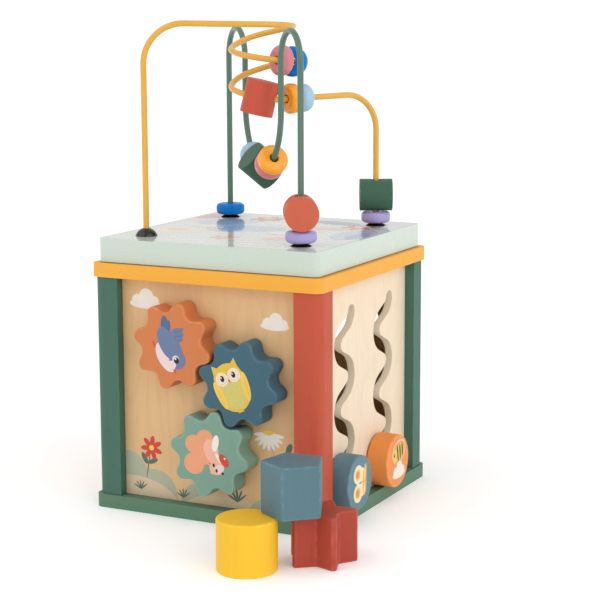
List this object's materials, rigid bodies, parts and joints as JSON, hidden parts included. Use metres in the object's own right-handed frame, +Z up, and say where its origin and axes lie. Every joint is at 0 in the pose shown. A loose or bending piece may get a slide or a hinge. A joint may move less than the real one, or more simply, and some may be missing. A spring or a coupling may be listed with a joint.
{
  "type": "activity cube shape sorter",
  "caption": "Wooden activity cube: meshing gears, wavy slider tracks, shape-sorting panel and a lift-off lid carrying bead-maze wires, with matching blocks.",
  "frame": {"origin": "centre of the base board's underside, on the surface that the box and the blocks stand on", "axes": "+Z up; -Y is the side with the gears, +X is the side with the wavy slider tracks, +Y is the side with the shape holes"},
  "size_m": [0.2459, 0.3076, 0.3826],
  "materials": {
    "base_paint": "satin green paint on wood",
    "green_paint": "satin green paint on wood",
    "red_paint": "satin terracotta paint on wood",
    "yellow_paint": "satin yellow paint on wood",
    "birch": "clear matt lacquer over birch ply",
    "pale_birch": "clear matt lacquer over birch ply",
    "gear_orange_paint": "matt paint on wood",
    "gear_blue_paint": "matt paint on wood",
    "gear_teal_paint": "matt paint on wood",
    "dowel": "bare beech",
    "bush_plastic": "natural plastic",
    "steel": "zinc plated",
    "lid_paint": "gloss mint paint on wood",
    "black_cap": "gloss",
    "yellow_wire": "powder coat",
    "green_wire": "powder coat",
    "bead_blue": "gloss lacquer",
    "bead_lilac": "gloss lacquer",
    "bead_red": "matt paint with grain",
    "bead_green": "matt paint with grain",
    "bead_sky": "gloss lacquer",
    "bead_pink": "gloss lacquer",
    "bead_orange": "gloss lacquer",
    "block_yellow": "matt paint with grain",
    "block_blue": "matt paint with grain",
    "block_red": "matt paint with grain"
  },
  "bodies": {
    "carcass": {"base_board": "base_paint", "base_screws": "steel", "post_front_left": "green_paint", "post_front_right": "red_paint", "post_back_right": "green_paint", "post_back_left": "red_paint", "rim_frame": "yellow_paint", "rim_screws": "steel", "gear_panel": "birch", "slider_panel": "pale_birch", "shape_panel": "birch", "side_panel": "birch", "gear_washers": "bush_plastic"},
    "gear_orange": {"gear_orange": "gear_orange_paint", "axle_orange": "dowel", "retainer_orange": "dowel"},
    "gear_blue": {"gear_blue": "gear_blue_paint", "axle_blue": "dowel", "retainer_blue": "dowel"},
    "gear_teal": {"gear_teal": "gear_teal_paint", "axle_teal": "dowel", "retainer_teal": "dowel"},
    "carriage_front": {"slider_bush_front": "bush_plastic"},
    "carriage_back": {"slider_bush_back": "bush_plastic"},
    "knob_blue": {"knob_blue": "gear_blue_paint", "knob_stem_blue": "dowel", "knob_keeper_blue": "dowel"},
    "knob_orange": {"knob_orange": "gear_orange_paint", "knob_stem_orange": "dowel", "knob_keeper_orange": "dowel"},
    "lid": {"lid_board": "lid_paint", "lid_plug": "birch", "lid_screws": "steel", "wire_caps": "black_cap", "yellow_wire": "yellow_wire", "green_wire": "green_wire"},
    "ring_rear_blue": {"ring_rear_blue": "bead_blue"},
    "ring_near_lilac": {"ring_near_lilac": "bead_lilac"},
    "barrel_near_red": {"barrel_near_red": "bead_red"},
    "ring_right_lilac": {"ring_right_lilac": "bead_lilac"},
    "barrel_right_green": {"barrel_right_green": "bead_green"},
    "lentil_u_blue": {"lentil_u_blue": "bead_sky"},
    "barrel_u_green": {"barrel_u_green": "bead_green"},
    "ring_u_pink": {"ring_u_pink": "bead_pink"},
    "ring_u_orange": {"ring_u_orange": "bead_orange"},
    "ring_coil_blue": {"ring_coil_blue": "bead_blue"},
    "ring_coil_pink": {"ring_coil_pink": "bead_pink"},
    "barrel_coil_red": {"barrel_coil_red": "bead_red"},
    "ring_coil_orange": {"ring_coil_orange": "bead_orange"},
    "lentil_coil_blue": {"lentil_coil_blue": "bead_sky"},
    "block_round": {"block_round": "block_yellow"},
    "block_penta": {"block_penta": "block_blue"},
    "block_star": {"block_star": "block_red"}
  },
  "joints": [
    {"name": "lid_lift", "type": "slide", "parent": "carcass", "child": "lid", "axis": [0, 0, 1], "range_m": [0, 0.06]},
    {"name": "gear_blue_spin", "type": "hinge", "parent": "carcass", "child": "gear_blue", "pos_m": [0.03497, -0.1, 0.1137], "axis": [0, -1, 0], "continuous": true},
    {"name": "gear_orange_spin", "type": "hinge", "parent": "carcass", "child": "gear_orange", "pos_m": [-0.0222, -0.1, 0.1382], "axis": [0, -1, 0], "continuous": true},
    {"name": "gear_teal_spin", "type": "hinge", "parent": "carcass", "child": "gear_teal", "pos_m": [0.00947, -0.1, 0.05696], "axis": [0, -1, 0], "continuous": true},
    {"name": "track_front_swing", "type": "hinge", "parent": "carcass", "child": "carriage_front", "pos_m": [0.0875, -0.04005, 0.0327], "axis": [-1, 0, 0], "range_deg": [0, 64]},
    {"name": "knob_blue_spin", "type": "hinge", "parent": "carriage_front", "child": "knob_blue", "pos_m": [0.0875, -0.0515, 0.0327], "axis": [1, 0, 0], "continuous": true},
    {"name": "track_back_swing", "type": "hinge", "parent": "carcass", "child": "carriage_back", "pos_m": [0.0875, 0.03195, 0.0327], "axis": [-1, 0, 0], "range_deg": [0, 64]},
    {"name": "knob_orange_spin", "type": "hinge", "parent": "carriage_back", "child": "knob_orange", "pos_m": [0.0875, 0.0205, 0.0327], "axis": [1, 0, 0], "continuous": true},
    {"name": "ring_rear_blue_rise", "type": "slide", "parent": "lid", "child": "ring_rear_blue", "axis": [0, 0, 1], "range_m": [0, 0.115]},
    {"name": "ring_near_lilac_rise", "type": "slide", "parent": "lid", "child": "ring_near_lilac", "axis": [0, 0, 1], "range_m": [0, 0.045]},
    {"name": "barrel_near_red_rise", "type": "slide", "parent": "ring_near_lilac", "child": "barrel_near_red", "axis": [0, 0, 1], "range_m": [0, 0.045]},
    {"name": "ring_right_lilac_rise", "type": "slide", "parent": "lid", "child": "ring_right_lilac", "axis": [0, 0, 1], "range_m": [0, 0.015]},
    {"name": "barrel_right_green_rise", "type": "slide", "parent": "ring_right_lilac", "child": "barrel_right_green", "axis": [0, 0, 1], "range_m": [0, 0.015]},
    {"name": "lentil_u_blue_ride", "type": "hinge", "parent": "lid", "child": "lentil_u_blue", "pos_m": [0, 0, 0.3146], "axis": [-0.7071, -0.7071, 0], "range_deg": [-30, 0]},
    {"name": "barrel_u_green_ride", "type": "hinge", "parent": "lid", "child": "barrel_u_green", "pos_m": [0, 0, 0.3146], "axis": [-0.7071, -0.7071, 0], "range_deg": [0, 8]},
    {"name": "ring_u_pink_ride", "type": "hinge", "parent": "barrel_u_green", "child": "ring_u_pink", "pos_m": [0, 0, 0.3146], "axis": [-0.7071, -0.7071, 0], "range_deg": [0, 14]},
    {"name": "ring_u_orange_ride", "type": "hinge", "parent": "ring_u_pink", "child": "ring_u_orange", "pos_m": [0, 0, 0.3146], "axis": [-0.7071, -0.7071, 0], "range_deg": [0, 24]},
    {"name": "ring_coil_blue_ride", "type": "hinge", "parent": "lid", "child": "ring_coil_blue", "pos_m": [-0.00012, 0.00004, 0.35084], "axis": [0.0148, 0.0814, 0.9966], "range_deg": [-2, 14]},
    {"name": "ring_coil_pink_ride", "type": "hinge", "parent": "lid", "child": "ring_coil_pink", "pos_m": [-0.00004, 0.00016, 0.35278], "axis": [0.0919, 0.0555, 0.9942], "range_deg": [-24, 2]},
    {"name": "barrel_coil_red_ride", "type": "hinge", "parent": "lid", "child": "barrel_coil_red", "pos_m": [0.0003, 0.00081, 0.32591], "axis": [0.2264, -0.0334, 0.9735], "range_deg": [-18, 2]},
    {"name": "ring_coil_orange_slide", "type": "slide", "parent": "lid", "child": "ring_coil_orange", "axis": [0.5038, 0.8636, 0.0219], "range_m": [0, 0.012]},
    {"name": "lentil_coil_blue_slide", "type": "slide", "parent": "ring_coil_orange", "child": "lentil_coil_blue", "axis": [0.5038, 0.8636, 0.0219], "range_m": [0, 0.014]},
    {"name": "block_round_slide", "type": "slide", "parent": "carcass", "child": "block_round", "axis": [0, -1, 0], "range_m": [0, 0.06]},
    {"name": "block_star_slide", "type": "slide", "parent": "carcass", "child": "block_star", "axis": [1, 0, 0], "range_m": [0, 0.06]},
    {"name": "block_penta_lift", "type": "slide", "parent": "carcass", "child": "block_penta", "axis": [0, 0, 1], "range_m": [0, 0.08]}
  ],
  "couplings": [
    {"joint": "gear_orange_spin", "follows": "gear_blue_spin", "ratio": -1},
    {"joint": "gear_teal_spin", "follows": "gear_blue_spin", "ratio": -1}
  ]
}
